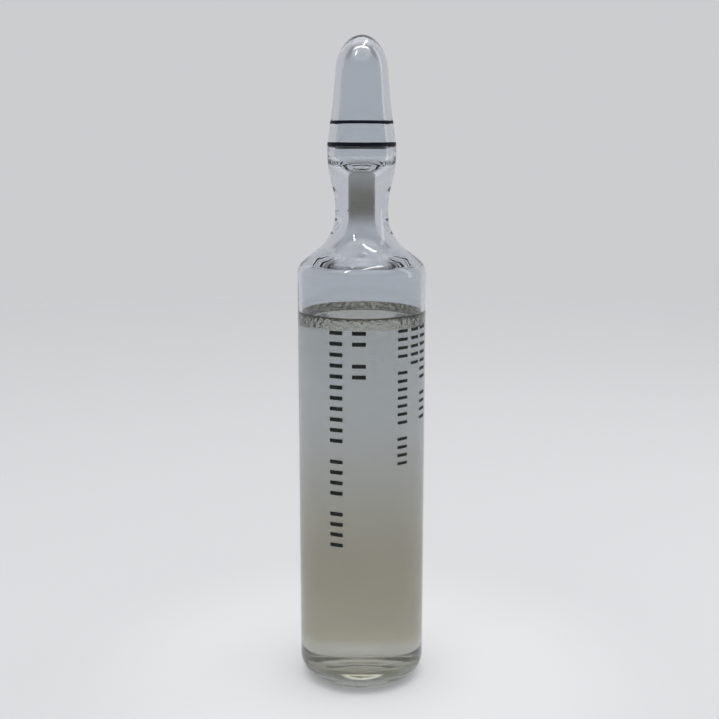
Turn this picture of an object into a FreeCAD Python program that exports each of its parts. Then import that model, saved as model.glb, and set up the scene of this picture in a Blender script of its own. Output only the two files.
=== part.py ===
import FreeCAD, Part
import math
import os
import Sketcher

# A sealed glass ampoule that holds about ten millilitres of clear liquid.
# Millimetres and degrees, +Z up. The origin is on the axis, in the plane that the foot stands on.
# The front, where the print is, faces -Y.

SIZES = (
    # the whole ampoule, from the foot to the tip
    ("overall_height", 90.4),
    # the straight barrel and its foot
    ("body_diameter", 17.75),
    ("wall", 0.6),
    ("heel_arc", 3.0),
    ("bore_heel_arc", 2.4),
    ("base_thickness", 1.2),
    ("dish_diameter", 9.6),
    ("dish_depth", 0.5),
    ("dish_arc", 15.0),
    # the shoulder, which runs in to the neck
    ("shoulder_arc", 2.42),
    ("shoulder_slope", 38.2),
    ("throat_arc", 6.25),
    ("bore_shoulder_arc", 1.4),
    ("bore_shoulder_slope", 27.0),
    ("bore_throat_arc", 6.0),
    # the neck, which is snapped to open the ampoule, with its height up to the widest part of the bulb
    ("neck_height", 7.99),
    ("neck_diameter", 7.24),
    ("neck_length", 0.6),
    ("neck_wall", 1.8),
    # the bulb, with its height from its widest part to the tip, and the stem above it
    ("bulb_height", 15.57),
    ("bulb_diameter", 9.34),
    ("bulb_arc", 15.8),
    ("bore_bulb_arc", 1.9),
    ("bore_bulb_depth", 3.2),
    ("bulb_wall", 0.9),
    ("stem_arc", 91.0),
    # the sealed tip
    ("dome_diameter", 7.1),
    ("dome_arc", 5.6),
    ("dome_wall", 0.8),
    ("crown_arc", 2.65),
    ("bore_crown_arc", 1.9),
    ("tip_thickness", 1.6),
    # the score ground into the neck, on the left and turned a little to the front
    ("score_depth", 0.25),
    ("score_width", 0.4),
    ("score_wheel_diameter", 20.0),
    ("score_turn", 20.0),
    # the liquid, with its height left free below the shoulder, and its meniscus
    ("fill_height", 6.5),
    ("surface_arc", 40.0),
    ("meniscus_arc", 1.8),
    ("meniscus_slope", 60.0),
    # the fired enamel: the two code rings, with their heights above the widest part of the bulb
    ("enamel", 0.04),
    ("upper_ring_height", 4.15),
    ("upper_ring_width", 0.42),
    ("lower_ring_height", 1.26),
    ("lower_ring_width", 0.5),
    # and the print, with its top's depth below the shoulder
    ("print_top", 6.67),
    ("large_mark", 1.85),
    ("large_pitch", 1.476),
    ("small_mark", 1.65),
    ("small_pitch", 1.142),
    ("stroke_share", 0.36),
    ("first_row_turn", -22.9),
    ("second_row_turn", -2.4),
    ("third_row_turn", 38.5),
    ("fourth_row_turn", 53.8),
    ("fifth_row_turn", 68.5),
)

# Each row of the print: its name, the size of its marks, and its plain strokes and gaps from the top.
PRINT_ROWS = (
    ("first_row", "large", "||||||||||| |||| ||||"),
    ("second_row", "large", "|| ||"),
    ("third_row", "small", "|||| ||||||| ||||"),
    ("fourth_row", "small", "|||||"),
    ("fifth_row", "small", "||||||| ||||"),
)

doc = FreeCAD.newDocument("ampoule")


class Size:
    """A length or an angle, as a number and as the expression that gives it from the cells."""

    def __init__(self, number, words):
        self.number = number
        self.words = words

    def __add__(self, other):
        other = plain(other)
        return Size(self.number + other.number, f"({self.words} + {other.words})")

    def __sub__(self, other):
        other = plain(other)
        return Size(self.number - other.number, f"({self.words} - {other.words})")

    def __mul__(self, other):
        other = plain(other)
        return Size(self.number * other.number, f"{self.words} * {other.words}")

    def __truediv__(self, other):
        other = plain(other)
        return Size(self.number / other.number, f"{self.words} / {other.words}")


def plain(value):
    return value if isinstance(value, Size) else Size(float(value), str(value))


def sine(angle):
    return Size(math.sin(math.radians(angle.number)), f"sin({angle.words})")


def cosine(angle):
    return Size(math.cos(math.radians(angle.number)), f"cos({angle.words})")


def make_sheet():
    """The driving dimensions, one to a row, and each as a Size under its alias."""
    sheet = doc.addObject("Spreadsheet::Sheet", "sizes")
    for row, (alias, value) in enumerate(SIZES, start=1):
        sheet.set(f"A{row}", alias)
        sheet.set(f"B{row}", str(value))
        sheet.setAlias(f"B{row}", alias)
    return {alias: Size(value, f"sizes.{alias}") for alias, value in SIZES}


size = make_sheet()


class Point:
    """A point of an outline: its distance from the axis and its height."""

    def __init__(self, x, z):
        self.x = x
        self.z = z

    def distance(self, other):
        return math.hypot(other.x - self.x, other.z - self.z)

    def towards(self, other, length):
        """The point at a length from here, on the line through another point."""
        share = length / self.distance(other)
        return Point(self.x + (other.x - self.x) * share, self.z + (other.z - self.z) * share)


class Outline:
    """A closed sketch of lines and arcs in the XZ plane, to be turned about the Z axis."""

    def __init__(self, body, name):
        plane = next(p for p in body.Origin.OriginFeatures if p.Role == "XZ_Plane")
        self.sketch = body.newObject("Sketcher::SketchObject", name)
        self.sketch.AttachmentSupport = (plane, [""])
        self.sketch.MapMode = "FlatFace"
        self.edges = {}
        self.last = None

    def join(self, before, after, smooth):
        first, _, head = self.edges[before]
        second, tail, _ = self.edges[after]
        kind = "Tangent" if smooth else "Coincident"
        self.sketch.addConstraint(Sketcher.Constraint(kind, first, head, second, tail))

    def add(self, name, geometry, tail, head, smooth):
        self.edges[name] = (self.sketch.addGeometry(geometry, False), tail, head)
        if self.last:
            self.join(self.last, name, smooth)
        self.last = name

    def line(self, name, start, end, smooth=True):
        ends = [FreeCAD.Vector(point.x, point.z, 0) for point in (start, end)]
        self.add(name, Part.LineSegment(*ends), 1, 2, smooth)

    def arc(self, name, centre, start, end, smooth=True):
        """An arc from start to end, the short way round its centre."""
        first = math.atan2(start.z - centre.z, start.x - centre.x)
        second = math.atan2(end.z - centre.z, end.x - centre.x)
        turn = math.remainder(second - first, math.tau)
        middle = FreeCAD.Vector(centre.x, centre.z, 0)
        circle = Part.Circle(middle, FreeCAD.Vector(0, 0, 1), centre.distance(start))
        if turn > 0:
            self.add(name, Part.ArcOfCircle(circle, first, first + turn), 1, 2, smooth)
        else:
            self.add(name, Part.ArcOfCircle(circle, first + turn, first), 2, 1, smooth)

    def close(self, first, top, bottom):
        """The stretch of the axis that closes the outline."""
        self.line("axis", top, bottom, smooth=False)
        self.join("axis", first, smooth=False)
        for vertex in (1, 2):
            self.rule("PointOnObject", "axis", vertex, -2)

    def rule(self, kind, name, *rest):
        self.sketch.addConstraint(Sketcher.Constraint(kind, self.edges[name][0], *rest))

    def give(self, label, constraint, given):
        """A dimension whose value follows the cells."""
        index = self.sketch.addConstraint(constraint)
        self.sketch.renameConstraint(index, label)
        self.sketch.setExpression(f"Constraints.{label}", given.words)

    def radius(self, name, given):
        constraint = Sketcher.Constraint("Radius", self.edges[name][0], given.number)
        self.give(f"{name}_radius", constraint, given)

    def place(self, name, spot, across=None, up=None):
        """The distance from the axis and the height of an edge's tail, head or centre."""
        index, tail, head = self.edges[name]
        vertex = {"tail": tail, "head": head, "centre": 3}[spot]
        for kind, given in (("DistanceX", across), ("DistanceY", up)):
            if given:
                constraint = Sketcher.Constraint(kind, -1, 1, index, vertex, given.number)
                self.give(f"{name}_{spot}_{kind[-1]}", constraint, given)


def turned(name, draw, *details):
    """A body whose one feature turns an outline all the way round the axis."""
    body = doc.addObject("PartDesign::Body", name)
    outline = Outline(body, f"{name}_outline")
    draw(outline, *details)
    solid = body.newObject("PartDesign::Revolution", f"{name}_turned")
    solid.Profile = outline.sketch
    solid.ReferenceAxis = (outline.sketch, ["V_Axis"])
    solid.Angle = 360.0
    return body


def shoulder_rise(form):
    """The height of the shoulder's two arcs and of the cone between them."""
    arcs = form["shoulder_arc"] + form["throat_arc"]
    slope = form["shoulder_slope"]
    run = form["barrel"] - form["neck"] - arcs * (plain(1) - sine(slope))
    return arcs * cosine(slope) + run * sine(slope) / cosine(slope)


def bottle_form(skin):
    """The outside of the glass, or the same form grown by the thickness of a skin."""
    form = {
        "foot": plain(0) - skin,
        "dish_arc": size["dish_arc"] - skin,
        "heel_arc": size["heel_arc"] + skin,
        "barrel": size["body_diameter"] / 2 + skin,
        "shoulder_arc": size["shoulder_arc"] + skin,
        "shoulder_slope": size["shoulder_slope"],
        "throat_arc": size["throat_arc"] - skin,
        "neck": size["neck_diameter"] / 2 + skin,
        "bulb": size["bulb_diameter"] / 2 + skin,
        "bulb_arc": size["bulb_arc"] + skin,
        "stem_arc": size["stem_arc"] - skin,
        "dome": size["dome_diameter"] / 2 + skin,
        "dome_arc": size["dome_arc"] + skin,
        "crown_arc": size["crown_arc"] + skin,
    }
    form["top"] = size["overall_height"] + skin
    form["widest"] = size["overall_height"] - size["bulb_height"]
    form["neck_foot"] = form["widest"] - size["neck_height"]
    form["neck_top"] = form["neck_foot"] + size["neck_length"]
    form["barrel_top"] = form["neck_foot"] - shoulder_rise(form)
    return form


def bore_form(outside):
    """The hollow inside, where the wall is thin in the barrel and thick in the drawn-in neck."""
    form = {
        "foot": size["base_thickness"],
        "dish_arc": size["dish_arc"],
        "heel_arc": size["bore_heel_arc"],
        "barrel": size["body_diameter"] / 2 - size["wall"],
        "shoulder_arc": size["bore_shoulder_arc"],
        "shoulder_slope": size["bore_shoulder_slope"],
        "throat_arc": size["bore_throat_arc"],
        "neck": size["neck_diameter"] / 2 - size["neck_wall"],
        "bulb": size["bulb_diameter"] / 2 - size["bulb_wall"],
        "bulb_arc": size["bore_bulb_arc"],
        "stem_arc": size["stem_arc"] + size["bulb_wall"],
        "dome": size["dome_diameter"] / 2 - size["dome_wall"],
        "dome_arc": size["dome_arc"] - size["dome_wall"],
        "crown_arc": size["bore_crown_arc"],
        "top": outside["top"] - size["tip_thickness"],
        "widest": outside["widest"],
        "neck_top": outside["widest"] - size["bore_bulb_depth"],
        "barrel_top": outside["barrel_top"],
    }
    form["neck_foot"] = form["barrel_top"] + shoulder_rise(form)
    return form


def draw_cup(outline, form, wall_top):
    """The dished foot, the heel and the straight wall. Returns the ends of the outline so far."""
    foot = form["foot"].number
    heel = form["heel_arc"].number
    barrel = form["barrel"].number
    dish = form["dish_arc"].number
    edge = size["dish_diameter"] / 2
    depth = size["dish_depth"]
    rim = (edge.number**2 + depth.number**2) / (2 * depth.number) - dish
    start = Point(0, foot + depth.number)
    dish_centre = Point(0, start.z - dish)
    rim_centre = Point(edge.number, foot + rim)
    meeting = dish_centre.towards(rim_centre, dish)
    heel_centre = Point(barrel - heel, foot + heel)
    landing = Point(edge.number, foot)
    toe = Point(heel_centre.x, foot)
    wall_foot = Point(barrel, heel_centre.z)

    outline.arc("dish", dish_centre, start, meeting)
    outline.arc("rim", rim_centre, meeting, landing)
    outline.line("landing", landing, toe)
    outline.arc("heel", heel_centre, toe, wall_foot)
    outline.line("barrel", wall_foot, wall_top)
    outline.rule("PointOnObject", "dish", 3, -2)
    outline.radius("dish", form["dish_arc"])
    outline.place("dish", "tail", up=form["foot"] + depth)
    outline.rule("Horizontal", "landing")
    outline.place("landing", "tail", across=edge, up=form["foot"])
    outline.radius("heel", form["heel_arc"])
    outline.rule("Vertical", "barrel")
    outline.place("barrel", "tail", across=form["barrel"])
    return start


def draw_bottle(outline, form):
    """The whole form of revolution, from the middle of the foot to the tip."""
    shoulder_foot = Point(form["barrel"].number, form["barrel_top"].number)
    start = draw_cup(outline, form, shoulder_foot)
    outline.place("barrel", "head", up=form["barrel_top"])
    neck_end = draw_shoulder(outline, form, shoulder_foot)
    tip = draw_head(outline, form, neck_end)
    outline.close("dish", tip, start)
    outline.place("axis", "tail", up=form["top"])


def draw_shoulder(outline, form, shoulder_foot):
    """The shoulder bends in, runs straight as a cone and bends up again into the neck."""
    shoulder = form["shoulder_arc"].number
    throat = form["throat_arc"].number
    neck_start = Point(form["neck"].number, form["neck_foot"].number)
    neck_end = Point(form["neck"].number, form["neck_top"].number)
    shoulder_centre = Point(shoulder_foot.x - shoulder, shoulder_foot.z)
    throat_centre = Point(neck_start.x + throat, neck_start.z)
    facing = math.radians(90 - form["shoulder_slope"].number)
    cone_foot = Point(
        shoulder_centre.x + shoulder * math.cos(facing),
        shoulder_centre.z + shoulder * math.sin(facing),
    )
    cone_top = Point(
        throat_centre.x - throat * math.cos(facing),
        throat_centre.z - throat * math.sin(facing),
    )
    outline.arc("shoulder", shoulder_centre, shoulder_foot, cone_foot)
    outline.line("cone", cone_foot, cone_top)
    outline.arc("throat", throat_centre, cone_top, neck_start)
    outline.line("neck", neck_start, neck_end)
    outline.radius("shoulder", form["shoulder_arc"])
    outline.radius("throat", form["throat_arc"])
    outline.rule("Vertical", "neck")
    outline.place("neck", "tail", across=form["neck"], up=form["neck_foot"])
    outline.place("neck", "head", up=form["neck_top"])
    return neck_end


def draw_head(outline, form, neck_end):
    """The neck flares out and swells into the bulb, and the stem tapers from there to the tip."""
    bulb = form["bulb_arc"].number
    stem = form["stem_arc"].number
    dome = form["dome_arc"].number
    crown = form["crown_arc"].number
    out = form["bulb"].number - neck_end.x
    climb = form["widest"].number - neck_end.z
    flare = (out**2 + climb**2) / (2 * out) - bulb
    flare_centre = Point(neck_end.x + flare, neck_end.z)
    bulb_centre = Point(form["bulb"].number - bulb, form["widest"].number)
    crown_centre = Point(0, form["top"].number - crown)
    dome_x = form["dome"].number - dome
    dome_centre = Point(dome_x, crown_centre.z - math.sqrt((dome - crown) ** 2 - dome_x**2))
    stem_centre = beyond(bulb_centre, bulb + stem, dome_centre, dome + stem)
    flare_top = bulb_centre.towards(flare_centre, bulb)
    stem_foot = bulb_centre.towards(stem_centre, bulb)
    stem_top = dome_centre.towards(stem_centre, dome)
    crown_foot = dome_centre.towards(crown_centre, dome)
    tip = Point(0, form["top"].number)
    outline.arc("flare", flare_centre, neck_end, flare_top)
    outline.arc("bulb", bulb_centre, flare_top, stem_foot)
    outline.arc("stem", stem_centre, stem_foot, stem_top)
    outline.arc("dome", dome_centre, stem_top, crown_foot)
    outline.arc("crown", crown_centre, crown_foot, tip)
    outline.radius("bulb", form["bulb_arc"])
    outline.place("bulb", "centre", across=form["bulb"] - form["bulb_arc"], up=form["widest"])
    outline.radius("stem", form["stem_arc"])
    outline.radius("dome", form["dome_arc"])
    outline.place("dome", "centre", across=form["dome"] - form["dome_arc"])
    outline.radius("crown", form["crown_arc"])
    outline.rule("PointOnObject", "crown", 3, -2)
    return tip


def beyond(first, first_length, second, second_length):
    """The point at given lengths from two others, on the side away from the axis."""
    apart = first.distance(second)
    along = (first_length**2 - second_length**2 + apart**2) / (2 * apart)
    off = math.sqrt(first_length**2 - along**2)
    foot = first.towards(second, along)
    across_x = (second.z - first.z) / apart
    across_z = -(second.x - first.x) / apart
    return Point(foot.x + across_x * off, foot.z + across_z * off)


def draw_fill(outline, form):
    """The space up to the surface of the liquid, which climbs the glass in a meniscus."""
    meniscus = size["meniscus_arc"]
    surface = size["surface_arc"]
    inset = form["barrel"] - meniscus * sine(size["meniscus_slope"])
    fill_height = form["barrel_top"] - size["fill_height"]
    level = Point(0, fill_height.number)
    surface_centre = Point(0, level.z + surface.number)
    drop = math.sqrt((surface.number - meniscus.number) ** 2 - inset.number**2)
    meniscus_centre = Point(inset.number, surface_centre.z - drop)
    lift = meniscus * cosine(size["meniscus_slope"])
    contact = Point(form["barrel"].number, meniscus_centre.z - lift.number)
    meeting = surface_centre.towards(meniscus_centre, surface.number)
    start = draw_cup(outline, form, contact)
    outline.arc("meniscus", meniscus_centre, contact, meeting, smooth=False)
    outline.arc("surface", surface_centre, meeting, level)
    outline.radius("meniscus", meniscus)
    outline.place("meniscus", "centre", across=inset)
    outline.radius("surface", surface)
    outline.rule("PointOnObject", "surface", 3, -2)
    outline.close("dish", level, start)
    outline.place("axis", "tail", up=fill_height)


def primitive(kind, name, **given):
    """A primitive whose sizes follow the cells."""
    solid = doc.addObject(f"Part::{kind}", name)
    for path, value in given.items():
        value = plain(value)
        setattr(solid, path, value.number)
        solid.setExpression(path, value.words)
    return solid


def put(solid, x=None, y=None, z=None, turn=None):
    """Where an object stands, and how far it is turned about the axis."""
    spots = {"x": x, "y": y, "z": z}
    numbers = {letter: plain(given or 0).number for letter, given in spots.items()}
    angle = plain(turn or 0)
    upright = FreeCAD.Vector(0, 0, 1)
    solid.Placement = FreeCAD.Placement(
        FreeCAD.Vector(**numbers), FreeCAD.Rotation(upright, angle.number)
    )
    for letter, given in spots.items():
        if given:
            solid.setExpression(f"Placement.Base.{letter}", plain(given).words)
    if turn:
        solid.setExpression("Placement.Rotation.Angle", angle.words)
    return solid


def gathered(name, members):
    compound = doc.addObject("Part::Compound", name)
    compound.Links = members
    return compound


def combined(kind, name, base, tool):
    """A cut or a common of two objects."""
    result = doc.addObject(f"Part::{kind}", name)
    result.Base = base
    result.Tool = tool
    return result


def make_score_wheel(outside):
    """The V-edged wheel that grinds the score, as two cones back to back."""
    rim = size["score_wheel_diameter"] / 2
    flank = rim - size["score_depth"] * 2
    thick = size["score_width"]
    away = plain(0) - (size["neck_diameter"] / 2 - size["score_depth"] + rim)
    level = outside["neck_foot"] + size["neck_length"] / 2
    upper = primitive("Cone", "score_upper", Radius1=rim, Radius2=flank, Height=thick)
    lower = primitive("Cone", "score_lower", Radius1=flank, Radius2=rim, Height=thick)
    put(upper, x=away, z=level)
    put(lower, x=away, z=level - thick)
    return put(gathered("score_wheel", [upper, lower]), turn=size["score_turn"])


def make_glass(blank, bore, outside):
    """The blown shell: the outside form less the sealed hollow and the score."""
    tools = gathered("hollow_and_score", [bore, make_score_wheel(outside)])
    return combined("Cut", "glass_shell", blank, tools)


def make_ring(skin, name, outside):
    """A code ring: a level band of the enamel skin that goes all the way round."""
    width = size[f"{name}_width"]
    reach = size["body_diameter"]
    slab = primitive("Cylinder", f"{name}_slab", Radius=reach, Height=width)
    put(slab, z=outside["widest"] + size[f"{name}_height"] - width / 2)
    return combined("Common", name, skin, slab)


def make_print_row(name, kind, strokes, barrel_top):
    """The blocks that cut one row of strokes out of the skin, from the top down."""
    mark = size[f"{kind}_mark"]
    pitch = size[f"{kind}_pitch"]
    stroke = pitch * size["stroke_share"]
    reach = size["body_diameter"]
    blocks = []
    for count, letter in enumerate(strokes):
        if letter == "|":
            block = primitive("Box", f"{name}_{count}", Length=mark, Width=reach, Height=stroke)
            top = barrel_top - size["print_top"] - pitch * count
            put(block, x=plain(0) - mark / 2, y=plain(0) - reach, z=top - stroke)
            blocks.append(block)
    return put(gathered(name, blocks), turn=size[f"{name}_turn"])


def make_print(skin, outside):
    """The print on the barrel, as rows of plain strokes."""
    rows = [make_print_row(*row, outside["barrel_top"]) for row in PRINT_ROWS]
    return combined("Common", "print_strokes", skin, gathered("print_blocks", rows))


def make_parts():
    """Every sub-part by its own name."""
    outside = bottle_form(plain(0))
    inside = bore_form(outside)
    blank = turned("blank", draw_bottle, outside)
    grown = turned("grown", draw_bottle, bottle_form(size["enamel"]))
    bore = turned("bore", draw_bottle, inside)
    skin = combined("Cut", "skin", grown, blank)
    return {
        "glass_shell": make_glass(blank, bore, outside),
        "liquid_fill": turned("fill", draw_fill, inside),
        "upper_code_ring": make_ring(skin, "upper_ring", outside),
        "lower_code_ring": make_ring(skin, "lower_ring", outside),
        "print_strokes": make_print(skin, outside),
    }


def check(parts):
    """Stops unless every object was built and every sub-part has a sound solid."""
    for thing in doc.Objects:
        failed = {"Invalid", "Error"} & set(thing.State)
        if failed:
            raise RuntimeError(f"{thing.Name} is {failed}")
    for name, part in parts.items():
        if part.Shape.isNull() or not part.Shape.isValid() or not part.Shape.Solids:
            raise RuntimeError(f"{name} has no sound shape")


parts = make_parts()
doc.recompute()
check(parts)
os.makedirs("parts", exist_ok=True)
for name, part in parts.items():
    part.Label = name
    part.Shape.exportStep(f"parts/{name}.step")
    print(f"{name}: {len(part.Shape.Solids)} solids, {part.Shape.Volume:.2f} cubic millimetres")
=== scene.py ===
# %% [markdown]
# # A sealed glass ampoule
#
# The ampoule is a single piece of clear glass that holds a liquid. It was drawn from a tube in a flame,
# filled and sealed, and two rings and a few rows of strokes were printed on it in enamel and fired.
# The CAD model comes in first, as a fixed frame. Every piece that is made here lies where the CAD says.

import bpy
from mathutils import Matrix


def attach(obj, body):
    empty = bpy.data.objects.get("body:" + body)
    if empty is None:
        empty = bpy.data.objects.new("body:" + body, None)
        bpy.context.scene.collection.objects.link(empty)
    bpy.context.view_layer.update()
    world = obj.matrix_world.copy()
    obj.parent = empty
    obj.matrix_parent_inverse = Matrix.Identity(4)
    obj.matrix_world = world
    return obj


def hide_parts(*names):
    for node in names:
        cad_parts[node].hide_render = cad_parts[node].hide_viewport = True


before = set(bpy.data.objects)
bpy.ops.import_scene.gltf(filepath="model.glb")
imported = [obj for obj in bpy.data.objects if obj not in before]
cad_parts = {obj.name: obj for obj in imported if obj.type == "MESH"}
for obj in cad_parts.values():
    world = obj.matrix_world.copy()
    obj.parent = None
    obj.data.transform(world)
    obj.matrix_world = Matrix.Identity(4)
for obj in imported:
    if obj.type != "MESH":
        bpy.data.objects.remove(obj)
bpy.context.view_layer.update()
print("nodes:", sorted(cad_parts))

# %% [markdown]
# ## The outline of a turned form
#
# Blown glass is round, so one outline gives the whole surface. On the real ampoule each part of the outline
# runs smoothly into the next, and it could be drawn by hand as a curve. Here it is built as a draughtsman
# builds it, from arcs and straight lines that touch, because glass shows every flat place and every kink.
# A complex number holds a point of the outline: its real part is the distance from the axis, and its
# imaginary part is the height. All sizes are in millimetres until the mesh is made.

# %% Points along lines and arcs
import cmath
import math


def towards(start, goal, length):
    return start + (goal - start) / abs(goal - start) * length


def line(start, end, gap=2.0):
    """Points from start up to, but not including, the end."""
    count = max(1, math.ceil(abs(end - start) / gap))
    return [start + (end - start) * step / count for step in range(count)]


def arc(centre, start, end, gap=0.16):
    """Points on the short way round a centre, from start up to, but not including, the end."""
    swing = cmath.phase((end - centre) / (start - centre))
    count = max(3, math.ceil(abs(swing * (start - centre)) / gap))
    return [centre + (start - centre) * cmath.exp(1j * swing * step / count) for step in range(count)]


def beyond(first, first_length, second, second_length):
    """The point at given lengths from two others, on the side away from the axis."""
    apart = abs(second - first)
    along = (first_length**2 - second_length**2 + apart**2) / (2 * apart)
    off = math.sqrt(first_length**2 - along**2)
    return first + (second - first) / apart * (along - 1j * off)


print("a quarter turn of 3 mm has", len(arc(0j, 3 + 0j, 3j)), "points")

# %% [markdown]
# ## The sizes of the glass
#
# The same few sizes drive the CAD model. The wall is thin in the barrel, because the tube was, and thick at
# the neck, where the hot glass drew in. The outside and the hollow have the same parts, so one dictionary
# of sizes describes each of them.

# %% Sizes of the outside and of the hollow
HEIGHT = 90.4
WIDEST = HEIGHT - 15.57
NECK_FOOT = WIDEST - 7.99
NECK_TOP = NECK_FOOT + 0.6


def shoulder_rise(form):
    """The height of the shoulder's two arcs and of the cone between them."""
    slope = math.radians(form["slope"])
    arcs = form["shoulder"] + form["throat"]
    run = form["barrel"] - form["neck"] - arcs * (1 - math.sin(slope))
    return arcs * math.cos(slope) + run * math.tan(slope)


outside = dict(
    foot=0.0, dish=15.0, heel=3.0, barrel=8.875, shoulder=2.42, slope=38.2, throat=6.25, neck=3.62,
    bulb=4.67, bulb_arc=15.8, stem=91.0, dome=3.55, dome_arc=5.6, crown=2.65, top=HEIGHT,
)
BARREL_TOP = NECK_FOOT - shoulder_rise(outside)
hollow = dict(
    foot=1.2, dish=15.0, heel=2.4, barrel=8.275, shoulder=1.4, slope=27.0, throat=6.0, neck=1.82,
    bulb=3.77, bulb_arc=1.9, stem=91.9, dome=2.75, dome_arc=4.8, crown=1.9, top=HEIGHT - 1.6,
)
outside["neck_foot"] = NECK_FOOT
outside["neck_top"] = NECK_TOP
hollow["neck_foot"] = BARREL_TOP + shoulder_rise(hollow)
hollow["neck_top"] = WIDEST - 3.2
print("the straight barrel ends at", round(BARREL_TOP, 2), "mm")

# %% [markdown]
# ## The outline of the bottle
#
# From the middle of the foot, the outline dips over the dished base, rounds the heel and climbs the barrel.
# Then the shoulder bends in, runs straight for a little, and bends up into the neck. Above the neck the
# glass swells into a bulb and tapers to a tip that the flame closed.

# %% The outline from the foot to the tip
DISH_EDGE = 4.8
DISH_DEPTH = 0.5


def cup_outline(form, wall_top):
    """The dished foot, the heel and the barrel."""
    foot = 1j * form["foot"]
    landing = foot + DISH_EDGE
    middle = foot + 1j * DISH_DEPTH
    dish_centre = middle - 1j * form["dish"]
    rim = (DISH_EDGE**2 + DISH_DEPTH**2) / (2 * DISH_DEPTH) - form["dish"]
    rim_centre = landing + 1j * rim
    meeting = towards(dish_centre, rim_centre, form["dish"])
    heel_centre = foot + form["barrel"] + form["heel"] * (1j - 1)
    toe = heel_centre - 1j * form["heel"]
    wall_foot = heel_centre + form["heel"]
    return (
        arc(dish_centre, middle, meeting, 0.4) + arc(rim_centre, meeting, landing, 0.3)
        + line(landing, toe, 0.5) + arc(heel_centre, toe, wall_foot) + line(wall_foot, wall_top)
    )


def shoulder_outline(form):
    """The shoulder and the throat, up to the neck."""
    facing = cmath.exp(1j * math.radians(90 - form["slope"]))
    shoulder_foot = form["barrel"] + 1j * BARREL_TOP
    neck_foot = form["neck"] + 1j * form["neck_foot"]
    shoulder_centre = shoulder_foot - form["shoulder"]
    throat_centre = neck_foot + form["throat"]
    cone_foot = shoulder_centre + form["shoulder"] * facing
    cone_top = throat_centre - form["throat"] * facing
    return (
        arc(shoulder_centre, shoulder_foot, cone_foot) + line(cone_foot, cone_top, 0.2)
        + arc(throat_centre, cone_top, neck_foot)
    )


def head_outline(form):
    """The neck, the bulb, the stem and the closed tip."""
    neck_foot = form["neck"] + 1j * form["neck_foot"]
    neck_top = form["neck"] + 1j * form["neck_top"]
    swell = complex(form["bulb"] - form["neck"], WIDEST - form["neck_top"])
    flare = abs(swell) ** 2 / (2 * swell.real) - form["bulb_arc"]
    flare_centre = neck_top + flare
    bulb_centre = form["bulb"] - form["bulb_arc"] + 1j * WIDEST
    crown_centre = 1j * (form["top"] - form["crown"])
    lean = form["dome"] - form["dome_arc"]
    drop = math.sqrt((form["dome_arc"] - form["crown"]) ** 2 - lean**2)
    dome_centre = crown_centre + lean - 1j * drop
    reach = form["stem"]
    stem_centre = beyond(bulb_centre, form["bulb_arc"] + reach, dome_centre, form["dome_arc"] + reach)
    flare_top = towards(bulb_centre, flare_centre, form["bulb_arc"])
    stem_foot = towards(bulb_centre, stem_centre, form["bulb_arc"])
    stem_top = towards(dome_centre, stem_centre, form["dome_arc"])
    crown_foot = towards(dome_centre, crown_centre, form["dome_arc"])
    tip = 1j * form["top"]
    return (
        line(neck_foot, neck_top, 0.05) + arc(flare_centre, neck_top, flare_top)
        + arc(bulb_centre, flare_top, stem_foot) + arc(stem_centre, stem_foot, stem_top, 0.3)
        + arc(dome_centre, stem_top, crown_foot) + arc(crown_centre, crown_foot, tip, 0.1) + [tip]
    )


def bottle_outline(form):
    return cup_outline(form, form["barrel"] + 1j * BARREL_TOP) + shoulder_outline(form) + head_outline(form)


print("points on the outside:", len(bottle_outline(outside)))
print("points on the hollow:", len(bottle_outline(hollow)))

# %% [markdown]
# ## Turning an outline
#
# A Screw modifier would turn the outline too, but the score has to be ground into the finished surface, so
# the points are turned here. Each point off the axis becomes a ring, a point on the axis stays one point,
# and neighbouring rings are joined with faces. Fine steps and smooth shading make the surface bend light
# like the real one.

# %% Helpers that turn an outline into a skin and skins into an object
import bpy
import numpy as np

MILLIMETRE = 0.001
TURN_STEPS = 224
turns = np.arange(TURN_STEPS) * math.tau / TURN_STEPS


def turned(points, closed=False):
    """The places and faces of a skin that faces away from what the outline goes round."""
    places = []
    rings = []
    for point in points:
        spin = turns if point.real > 1e-9 else turns[:1]
        rings.append([len(places) + step % len(spin) for step in range(TURN_STEPS + 1)])
        places += [(point.real * math.cos(a), point.real * math.sin(a), point.imag) for a in spin]
    pairs = zip(rings, rings[1:] + rings[:1] if closed else rings[1:])
    faces = []
    for low, high in pairs:
        for step in range(TURN_STEPS):
            corners = (low[step], low[step + 1], high[step + 1], high[step])
            faces.append(tuple(dict.fromkeys(corners)))
    return np.array(places), faces


def finished(name, *skins):
    """One smooth object in the scene, made from the skins that bound it."""
    places = np.concatenate([skin[0] for skin in skins]) * MILLIMETRE
    faces = []
    passed = 0
    for skin_places, skin_faces in skins:
        faces += [tuple(corner + passed for corner in face) for face in skin_faces]
        passed += len(skin_places)
    mesh = bpy.data.meshes.new(name)
    mesh.from_pydata(places.tolist(), [], faces)
    mesh.shade_smooth()
    piece = bpy.data.objects.new(name, mesh)
    bpy.context.scene.collection.objects.link(piece)
    print(f"{name}: {len(mesh.polygons)} faces")
    return piece


# %% [markdown]
# ## The score
#
# A thin wheel with a V-shaped edge grinds a short groove into the neck, so that the ampoule snaps there.
# A boolean could cut it, but would leave long thin faces that spoil the smooth shading. The points of the
# neck that the wheel reaches are moved in to its edge instead.

# %% Grind the score into the neck
SCORE_LEVEL = NECK_FOOT + 0.3
SCORE_DEPTH = 0.25
SCORE_WIDTH = 0.4
WHEEL = 10.0
WHEEL_DIRECTION = math.radians(200)


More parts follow.
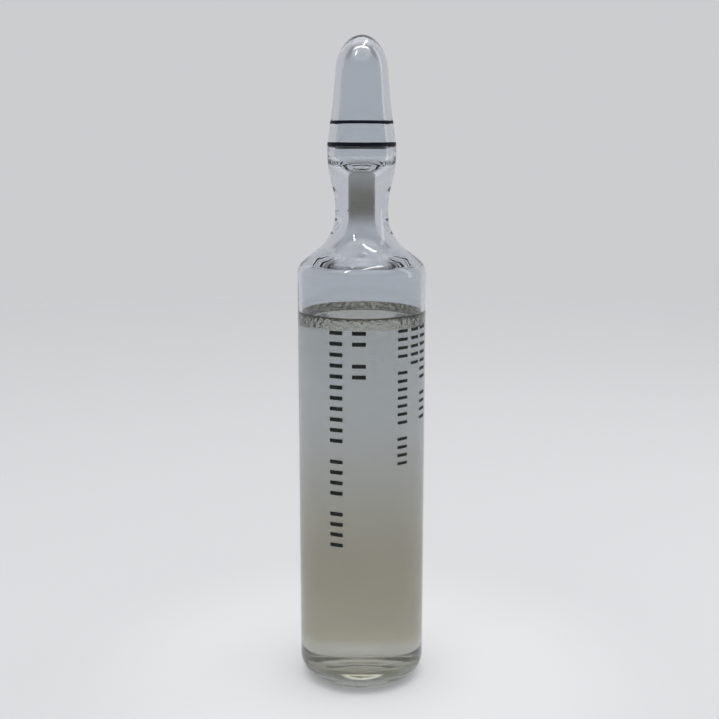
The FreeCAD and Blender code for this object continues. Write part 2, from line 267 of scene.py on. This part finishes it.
def grind(places):
    """Moves the places under the wheel's edge straight in towards the axis."""
    away = outside["neck"] - SCORE_DEPTH + WHEEL
    radius = np.hypot(places[:, 0], places[:, 1])
    swing = np.arctan2(places[:, 1], places[:, 0]) - WHEEL_DIRECTION
    edge = WHEEL - 2 * SCORE_DEPTH * np.abs(places[:, 2] - SCORE_LEVEL) / SCORE_WIDTH
    under = edge**2 - (away * np.sin(swing)) ** 2
    reach = away * np.cos(swing) - np.sqrt(np.maximum(under, 0))
    ground = (edge > WHEEL - SCORE_DEPTH) & (under > 0) & (np.cos(swing) > 0) & (reach < radius)
    places[ground, :2] *= (reach[ground] / radius[ground])[:, None]
    print("places moved by the wheel:", int(ground.sum()))


# %% [markdown]
# ## The glass
#
# The glass has two skins: the outside, and the hollow, which is turned inside out because it faces away
# from the glass. Both belong to one object, since they bound one body of glass.

# %% Make the glass
outer_skin = turned(bottle_outline(outside))
grind(outer_skin[0])
inner_places, inner_faces = turned(bottle_outline(hollow))
inner_skin = (inner_places, [face[::-1] for face in inner_faces])
glass = finished("glass", outer_skin, inner_skin)
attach(glass, "root")
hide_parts("glass_shell")

# %% [markdown]
# ## The liquid
#
# The liquid fills the hollow to a little below the shoulder and climbs the glass in a meniscus. Where it
# touches the glass there is no air, and light passes straight from one to the other. A renderer handles
# one surface at a time, so the liquid's skin is set a hair's breadth into the glass: light then enters the
# glass, the liquid and the hollow in the right order, and bends as it should.

# %% Make the liquid
SUNK = 0.05
FILL_TOP = BARREL_TOP - 6.5
MENISCUS_ARC = 1.8
SURFACE_ARC = 40.0
MENISCUS_SLOPE = math.radians(60)


def fill_outline():
    """The cup of the hollow, the meniscus and the level surface."""
    form = dict(hollow)
    form["foot"] -= SUNK
    form["heel"] += SUNK
    form["barrel"] += SUNK
    level = 1j * FILL_TOP
    surface_centre = level + 1j * SURFACE_ARC
    inset = hollow["barrel"] - MENISCUS_ARC * math.sin(MENISCUS_SLOPE)
    drop = math.sqrt((SURFACE_ARC - MENISCUS_ARC) ** 2 - inset**2)
    meniscus_centre = surface_centre + inset - 1j * drop
    contact = meniscus_centre + MENISCUS_ARC * cmath.exp(1j * (MENISCUS_SLOPE - math.pi / 2))
    meeting = towards(surface_centre, meniscus_centre, SURFACE_ARC)
    return (
        cup_outline(form, contact + SUNK) + [contact + SUNK]
        + arc(meniscus_centre, contact, meeting, 0.08) + arc(surface_centre, meeting, level, 0.2) + [level]
    )


liquid = finished("liquid", turned(fill_outline()))
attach(liquid, "root")
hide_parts("liquid_fill")

# %% [markdown]
# ## The code rings
#
# A wheel rolls each ring of enamel onto the turning bulb. It lies on the glass as a thin rounded bead, and
# its edges waver a little. The section of the bead is turned round the axis, and the points at its edges
# are then shifted by a slow wave.

# %% Make the two rings
ENAMEL = 0.04


def glass_radius(height):
    """The outside radius of the glass at a height in the head."""
    points = head_outline(outside)
    for low, high in zip(points, points[1:]):
        if low.imag <= height <= high.imag:
            share = (height - low.imag) / (high.imag - low.imag)
            return low.real + (high.real - low.real) * share
    raise ValueError(f"{height} mm isn't on the head")


def ring_section(height, width):
    """A low bead on the glass, sunk by half its thickness, with rounded edges."""
    crowned = []
    for share in (-0.5, -0.46, -0.38, -0.2, 0.0, 0.2, 0.38, 0.46, 0.5):
        level = height + share * width
        lift = ENAMEL * (1 - (2 * share) ** 8)
        crowned.append(complex(glass_radius(level) + lift, level))
    low = complex(glass_radius(height - width / 2) - ENAMEL / 2, height - width / 2)
    high = complex(glass_radius(height + width / 2) - ENAMEL / 2, height + width / 2)
    return [low] + crowned + [high]


def waver(places, height, phase):
    """Shifts each edge up or down by a few hundredths of a millimetre."""
    turn = np.arctan2(places[:, 1], places[:, 0])
    side = (places[:, 2] - height) * 9
    wave = np.sin(3 * turn + phase) + 0.6 * np.sin(11 * turn + 2 * phase + side)
    places[:, 2] += 0.012 * (wave + 0.35 * np.sin(29 * turn + 5 * phase - side))


for name, node, above, width, phase in (
    ("upper_ring", "upper_code_ring", 4.15, 0.42, 0.7),
    ("lower_ring", "lower_code_ring", 1.26, 0.5, 2.9),
):
    band = turned(ring_section(WIDEST + above, width), closed=True)
    waver(band[0], WIDEST + above, phase)
    ring = finished(name, band)
    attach(ring, "root")
    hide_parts(node)

# %% [markdown]
# ## Materials as expressions
#
# Each finish is a small network of nodes. Written out link by link, such a network is hard to read, so one
# class stands for the output of a node, and sums and products of such outputs add the Math nodes.

# %% A class for the sockets of a material
class Signal:
    """A value on its way through a material's nodes."""

    def __init__(self, finish, socket):
        self.finish = finish
        self.socket = socket

    def math(self, operation, *values):
        node = self.finish.node("ShaderNodeMath", dict(operation=operation), dict(enumerate(values)))
        return self.finish.out(node)

    def __add__(self, other):
        return self.math("ADD", self, other)

    def __sub__(self, other):
        return self.math("SUBTRACT", self, other)

    def __rsub__(self, other):
        return self.math("SUBTRACT", other, self)

    def __mul__(self, other):
        return self.math("MULTIPLY", self, other)

    __radd__ = __add__
    __rmul__ = __mul__


class Finish:
    """A material or the world, whose nodes are added one by one."""

    def __init__(self, owner):
        owner.use_nodes = True
        self.owner = owner
        self.tree = owner.node_tree
        self.tree.nodes.clear()

    def node(self, kind, settings=None, inputs=None):
        """A node with its settings, and then a number or a link for each socket that is named."""
        node = self.tree.nodes.new(kind)
        for key, value in (settings or {}).items():
            setattr(node, key, value)
        for key, value in (inputs or {}).items():
            socket = node.inputs[key]
            if isinstance(value, Signal):
                self.tree.links.new(value.socket, socket)
            else:
                socket.default_value = value
        return node

    def out(self, node, name=0):
        return Signal(self, node.outputs[name])

    def blend(self, factor, first, second):
        """A colour between two colours, by a factor."""
        node = self.node("ShaderNodeMix", dict(data_type="RGBA"), {0: factor, 6: first, 7: second})
        return self.out(node, 2)

    def place(self):
        return self.out(self.node("ShaderNodeTexCoord"), "Object")

    def height(self):
        return self.out(self.node("ShaderNodeSeparateXYZ", {}, dict(Vector=self.place())), "Z")

    def radius(self):
        """The distance from the object's axis."""
        node = self.node("ShaderNodeVectorMath", dict(operation="LENGTH"), {0: self.stretched((1, 1, 0))})
        return self.out(node, "Value")

    def stretched(self, scale):
        """The place on the object, times a scale for each direction."""
        node = self.node("ShaderNodeVectorMath", dict(operation="MULTIPLY"), {0: self.place(), 1: scale})
        return self.out(node)

    def noise(self, where, scale, detail=3.0, roughness=0.5):
        """A cloudy pattern from 0 to 1, whose scale is in waves to a metre."""
        given = dict(Vector=where, Scale=scale, Detail=detail, Roughness=roughness)
        return self.out(self.node("ShaderNodeTexNoise", {}, given))

    def rises(self, value, low, high):
        """0 below the low value and 1 above the high one, and smooth between them."""
        given = {"Value": value, "From Min": low, "From Max": high}
        return self.out(self.node("ShaderNodeMapRange", dict(interpolation_type="SMOOTHSTEP"), given))

    def bump(self, height, distance, strength=1.0):
        given = dict(Height=height, Distance=distance, Strength=strength)
        return self.out(self.node("ShaderNodeBump", {}, given))

    def surface(self, shader):
        end = self.node("ShaderNodeOutputMaterial")
        self.tree.links.new(shader.socket, end.inputs["Surface"])
        return end


def new_finish(name):
    return Finish(bpy.data.materials.new(name))


# %% [markdown]
# ## Clear glass
#
# Medical glass is clear, but it takes a little light at each face and on the way through, so the edges and
# the thick neck look darker than the thin wall. A tint of the surface does most of this, and an absorbing
# volume adds the depth. The foot is painted paler and bluer than the rest, which is painted light. The
# narrow bore is painted dark brown, a painted shade that fades out towards the throat and the bulb. A tube
# that was drawn in a flame has faint streaks along it, and it was handled, so here and there it is a
# little less polished. Light that casts a shadow passes through a plain tinted film instead, because glass
# would otherwise cast the shadow of something solid.

# %% A clear body
def clear_body(finish, tint, index, roughness, normal, film):
    """A clear material, through which a lamp's light falls as through a tinted film."""
    given = {
        "Base Color": tint, "IOR": index, "Roughness": roughness, "Normal": normal,
        "Transmission Weight": 1.0,
    }
    body = finish.out(finish.node("ShaderNodeBsdfPrincipled", {}, given))
    veil = finish.out(finish.node("ShaderNodeBsdfTransparent", {}, dict(Color=film)))
    lamp_ray = finish.out(finish.node("ShaderNodeLightPath"), "Is Shadow Ray")
    mixed = finish.node("ShaderNodeMixShader", {}, {0: lamp_ray, 1: body, 2: veil})
    return finish.surface(finish.out(mixed))


# %% [markdown]
# The pairs below are heights or distances from the axis, in metres, between which a tint comes in or fades.

# %% The finish of the glass
GLASS_TINT = (0.76, 0.785, 0.825, 1)
# Painted light: the foot is made paler and bluer than the rest of the glass.
FOOT_PAINTED_LIGHT = (0.93, 0.97, 1.0, 1)
# Painted shade: the bore in the neck is made dark brown.
BORE_PAINTED_SHADE = (0.23, 0.225, 0.19, 1)
GLASS_FILM = (0.985, 0.987, 0.99, 1)
GLASS_DEPTH = (0.42, 0.46, 0.54, 1)
GLASS_DENSITY = 12.0
GLASS_INDEX = 1.49
FOOT_TO_BARREL = (0.003, 0.006)
THROAT_TO_BORE = (0.0638, 0.0674)
BORE_TO_BULB = (0.0690, 0.0765)
BORE_TO_OUTSIDE = (0.0020, 0.0036)
STREAK_DEPTH = 0.00004
TOUCHED_ROUGHNESS = 0.035

clear_glass = new_finish("clear_glass_finish")
streaks = clear_glass.noise(clear_glass.stretched((260, 260, 18)), 1.0, 2.0)
ripples = clear_glass.noise(clear_glass.place(), 160.0, 1.0)
touched = clear_glass.rises(clear_glass.noise(clear_glass.place(), 210.0, 5.0, 0.6), 0.56, 0.72)
relief = clear_glass.bump(streaks * 0.6 + ripples, STREAK_DEPTH)
above_foot = clear_glass.rises(clear_glass.height(), *FOOT_TO_BARREL)
above_throat = clear_glass.rises(clear_glass.height(), *THROAT_TO_BORE)
under_bulb = 1 - clear_glass.rises(clear_glass.height(), *BORE_TO_BULB)
in_bore = 1 - clear_glass.rises(clear_glass.radius(), *BORE_TO_OUTSIDE)
# Painted light on the foot, then painted shade in the bore.
hue = clear_glass.blend(above_foot, FOOT_PAINTED_LIGHT, GLASS_TINT)
hue = clear_glass.blend(above_throat * under_bulb * in_bore, hue, BORE_PAINTED_SHADE)
end = clear_body(clear_glass, hue, GLASS_INDEX, touched * TOUCHED_ROUGHNESS, relief, GLASS_FILM)
depth = clear_glass.node("ShaderNodeVolumeAbsorption", {}, dict(Color=GLASS_DEPTH, Density=GLASS_DENSITY))
clear_glass.tree.links.new(depth.outputs[0], end.inputs["Volume"])
glass.data.materials.append(clear_glass.owner)
print("glass nodes:", len(clear_glass.tree.nodes))

# %% [markdown]
# ## The liquid's finish
#
# The liquid is thin as water and bends light less than glass does. It is painted a pale yellow-brown low
# down, nearly the grey of the glass higher up, and a little olive at its surface: painted refraction that
# stands in for the surroundings seen through it. Its underside stays clear, so the foot seen through it
# stays light. It is quite still, but where it climbs the wall it stands in fine beads that glint.

# %% The finish of the liquid
# Painted refraction: these tones stand in for what is seen through the liquid.
LIQUID_SURFACE = (0.52, 0.50, 0.36, 1)
LIQUID_UPPER = (0.73, 0.73, 0.68, 1)
LIQUID_LOWER = (0.54, 0.475, 0.33, 1)
LIQUID_UNDERSIDE = (0.97, 0.97, 0.97, 1)
LIQUID_FILM = (0.98, 0.97, 0.95, 1)
WATER_INDEX = 1.333
UNDERSIDE_TO_LOWER = (0.0012, 0.0032)
LOWER_TO_UPPER = (0.015, 0.044)
UPPER_TO_SURFACE = ((FILL_TOP - 0.4) * MILLIMETRE, FILL_TOP * MILLIMETRE)
LEVEL_TO_MENISCUS = (0.0062, 0.0076)
BEAD_DEPTH = 0.0018

clear_liquid = new_finish("clear_liquid_finish")
above_underside = clear_liquid.rises(clear_liquid.height(), *UNDERSIDE_TO_LOWER)
beads = clear_liquid.noise(clear_liquid.place(), 1400.0, 2.0)
near_top = clear_liquid.rises(clear_liquid.height(), *UPPER_TO_SURFACE)
at_wall = clear_liquid.rises(clear_liquid.radius(), *LEVEL_TO_MENISCUS)
beaded = clear_liquid.bump(beads * near_top * at_wall, BEAD_DEPTH)
higher = clear_liquid.rises(clear_liquid.height(), *LOWER_TO_UPPER)
# The painted refraction: yellow-brown low down, grey higher up, olive at the surface, clear at the bottom.
painted_view = clear_liquid.blend(higher, LIQUID_LOWER, LIQUID_UPPER)
painted_view = clear_liquid.blend(near_top, painted_view, LIQUID_SURFACE)
painted_view = clear_liquid.blend(above_underside, LIQUID_UNDERSIDE, painted_view)
clear_body(clear_liquid, painted_view, WATER_INDEX, 0.0, beaded, LIQUID_FILM)
liquid.data.materials.append(clear_liquid.owner)
print("liquid nodes:", len(clear_liquid.tree.nodes))

# %% [markdown]
# ## Enamel
#
# The enamel is a dark paste that was fired onto the glass. Up close it isn't quite even: it is thinner and
# browner in places, and its skin is a little rough, so that its gloss breaks up. The print's strokes are
# the CAD's own, since nothing about their shape is missing, and only get this finish.

# %% The finishes of the rings and of the print
RING_DARK = (0.0006, 0.0025, 0.006, 1)
RING_THIN = (0.002, 0.006, 0.012, 1)
PRINT_DARK = (0.006, 0.009, 0.007, 1)
PRINT_THIN = (0.025, 0.032, 0.026, 1)
GRAIN_DEPTH = 0.00001


def enamel_finish(name, dark, thin, grain):
    finish = new_finish(name)
    fine = finish.noise(finish.place(), grain, 4.0, 0.6)
    broad = finish.noise(finish.place(), grain * 0.2, 2.0)
    worn = finish.rises(fine * 0.6 + broad * 0.4, 0.42, 0.66)
    given = {
        "Base Color": finish.blend(worn, dark, thin),
        "Roughness": 0.4 + fine * 0.2,
        "Specular IOR Level": 0.12,
        "Normal": finish.bump(fine, GRAIN_DEPTH),
    }
    finish.surface(finish.out(finish.node("ShaderNodeBsdfPrincipled", {}, given)))
    return finish.owner


ring_enamel = enamel_finish("ring_enamel", RING_DARK, RING_THIN, 4000.0)
print_enamel = enamel_finish("print_enamel", PRINT_DARK, PRINT_THIN, 5000.0)
for name in ("upper_ring", "lower_ring"):
    bpy.data.objects[name].data.materials.append(ring_enamel)
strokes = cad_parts["print_strokes"]
strokes.data.materials.clear()
strokes.data.materials.append(print_enamel)
print("finishes:", sorted(material.name for material in bpy.data.materials))

# %% [markdown]
# ## The floor
#
# Glass has hardly any colour of its own and shows what is around it. A plain pale floor runs out to the
# horizon and fades there into a world of the same tone, so that no line crosses behind the ampoule. Close
# round the foot the floor is painted lighter, a painted pool of light that pales the ampoule's shadow.

# %% The floor
PALE = (0.60, 0.61, 0.625, 1)
FLOOR_COLOUR = (0.60, 0.605, 0.615, 1)
# Painted light: a lighter floor close round the foot, which pales the ampoule's shadow.
FLOOR_PAINTED_POOL = (0.72, 0.725, 0.735, 1)
NEAR_TO_FAR = (0.01, 0.05)
FLOOR_TO_WORLD = (0.06, 0.6)

floor = finished("floor", turned([3000 - 0.02j, -0.02j]))
floor_finish = new_finish("floor_finish")
fade = floor_finish.rises(floor_finish.radius(), *FLOOR_TO_WORLD)
away = floor_finish.rises(floor_finish.radius(), *NEAR_TO_FAR)
# The painted pool of light near the foot, blended into the floor's own colour.
pale = floor_finish.blend(away, FLOOR_PAINTED_POOL, FLOOR_COLOUR)
matt = floor_finish.out(floor_finish.node("ShaderNodeBsdfDiffuse", {}, dict(Color=pale)))
gone = floor_finish.out(floor_finish.node("ShaderNodeBsdfTransparent", {}, {}))
mixed = floor_finish.node("ShaderNodeMixShader", {}, {0: fade, 1: matt, 2: gone})
floor_finish.surface(floor_finish.out(mixed))
floor.data.materials.append(floor_finish.owner)

# %% [markdown]
# ## The light
#
# The world is pale up to well above the horizon, darker over that, which draws the glass's edges, and
# bright right overhead like a lit ceiling. Three soft boxes give the glints: a long one overhead, a tall
# one at the side for the band along the head, and a small one like a window at the front. The glass mirrors
# them, but they aren't seen through it, where a bare rectangle would show from some sides.

# %% The world
CEILING_TONE = (0.32, 0.325, 0.335, 1)
ZENITH_TONE = (2.2, 2.2, 2.2, 1)

world = bpy.data.worlds.new("pale_world")
bpy.context.scene.world = world
sky = Finish(world)
heading = sky.out(sky.node("ShaderNodeTexCoord"), "Generated")
upward = sky.out(sky.node("ShaderNodeSeparateXYZ", {}, dict(Vector=heading)), "Z")
ceiling = sky.rises(upward, 0.45, 0.72)
zenith = sky.rises(upward, 0.80, 0.92)
tone = sky.blend(zenith, sky.blend(ceiling, PALE, CEILING_TONE), ZENITH_TONE)
glow = sky.node("ShaderNodeBackground", {}, dict(Color=tone, Strength=1.0))
end = sky.node("ShaderNodeOutputWorld")
sky.tree.links.new(glow.outputs[0], end.inputs["Surface"])
print("world nodes:", len(sky.tree.nodes))

# %% The lamps
from mathutils import Vector


def soft_box(name, spot, aim, size, radiance):
    """A rectangular lamp whose face has a given radiance."""
    lamp = bpy.data.lights.new(name, "AREA")
    lamp.shape = "RECTANGLE"
    lamp.size, lamp.size_y = size
    lamp.energy = radiance * size[0] * size[1] * math.pi
    holder = bpy.data.objects.new(name, lamp)
    holder.location = spot
    holder.rotation_euler = (Vector(aim) - Vector(spot)).to_track_quat("-Z", "Y").to_euler()
    holder.visible_camera = holder.visible_transmission = False
    bpy.context.scene.collection.objects.link(holder)
    print(f"{name}: {lamp.energy:.3f} watts")


soft_box("overhead", (0.095, -0.05, 0.55), (0, 0, 0.05), (0.30, 0.05), 14.0)
soft_box("side", (0.25, 0.02, 0.18), (0, 0, 0.06), (0.05, 0.30), 2.2)
soft_box("window", (-0.14, -0.20, 0.36), (0, 0, 0.05), (0.03, 0.10), 20.0)

# %% [markdown]
# ## The camera
#
# The picture was taken from a hand's breadth away, a little above the ampoule and looking down at it. The
# camera stands where a pinhole model of that picture puts it.

# %% The camera
EYE_ASIDE = -0.3
EYE_DISTANCE = 160.04
EYE_HEIGHT = 77.49
TILT = 11.0
FOCAL_PIXELS = 1163.0
IMAGE_PIXELS = 719.0

camera = bpy.data.cameras.new("camera")
camera.sensor_width = 36.0
camera.lens = camera.sensor_width * FOCAL_PIXELS / IMAGE_PIXELS
camera.clip_start = 0.01
eye = bpy.data.objects.new("camera", camera)
eye.location = Vector((EYE_ASIDE, -EYE_DISTANCE, EYE_HEIGHT)) * MILLIMETRE
eye.rotation_euler = (math.radians(90 - TILT), 0, 0)
bpy.context.scene.collection.objects.link(eye)
bpy.context.scene.camera = eye
bpy.context.scene.view_settings.view_transform = "Standard"
print("focal length:", round(camera.lens, 2), "mm")

# %% [markdown]
# ## How far light is followed
#
# Inside thick glass, light is mirrored to and fro many times before it comes out, and where a renderer
# gives up too soon the glass turns black. The light that glass gathers on the floor is left out, because
# the tinted film has let the lamps' light through already, and it would count twice.

# %% The bounces
BOUNCES = 32

light_paths = bpy.context.scene.cycles
light_paths.max_bounces = light_paths.transmission_bounces = light_paths.glossy_bounces = BOUNCES
light_paths.caustics_refractive = light_paths.caustics_reflective = False
print("bounces:", light_paths.max_bounces)
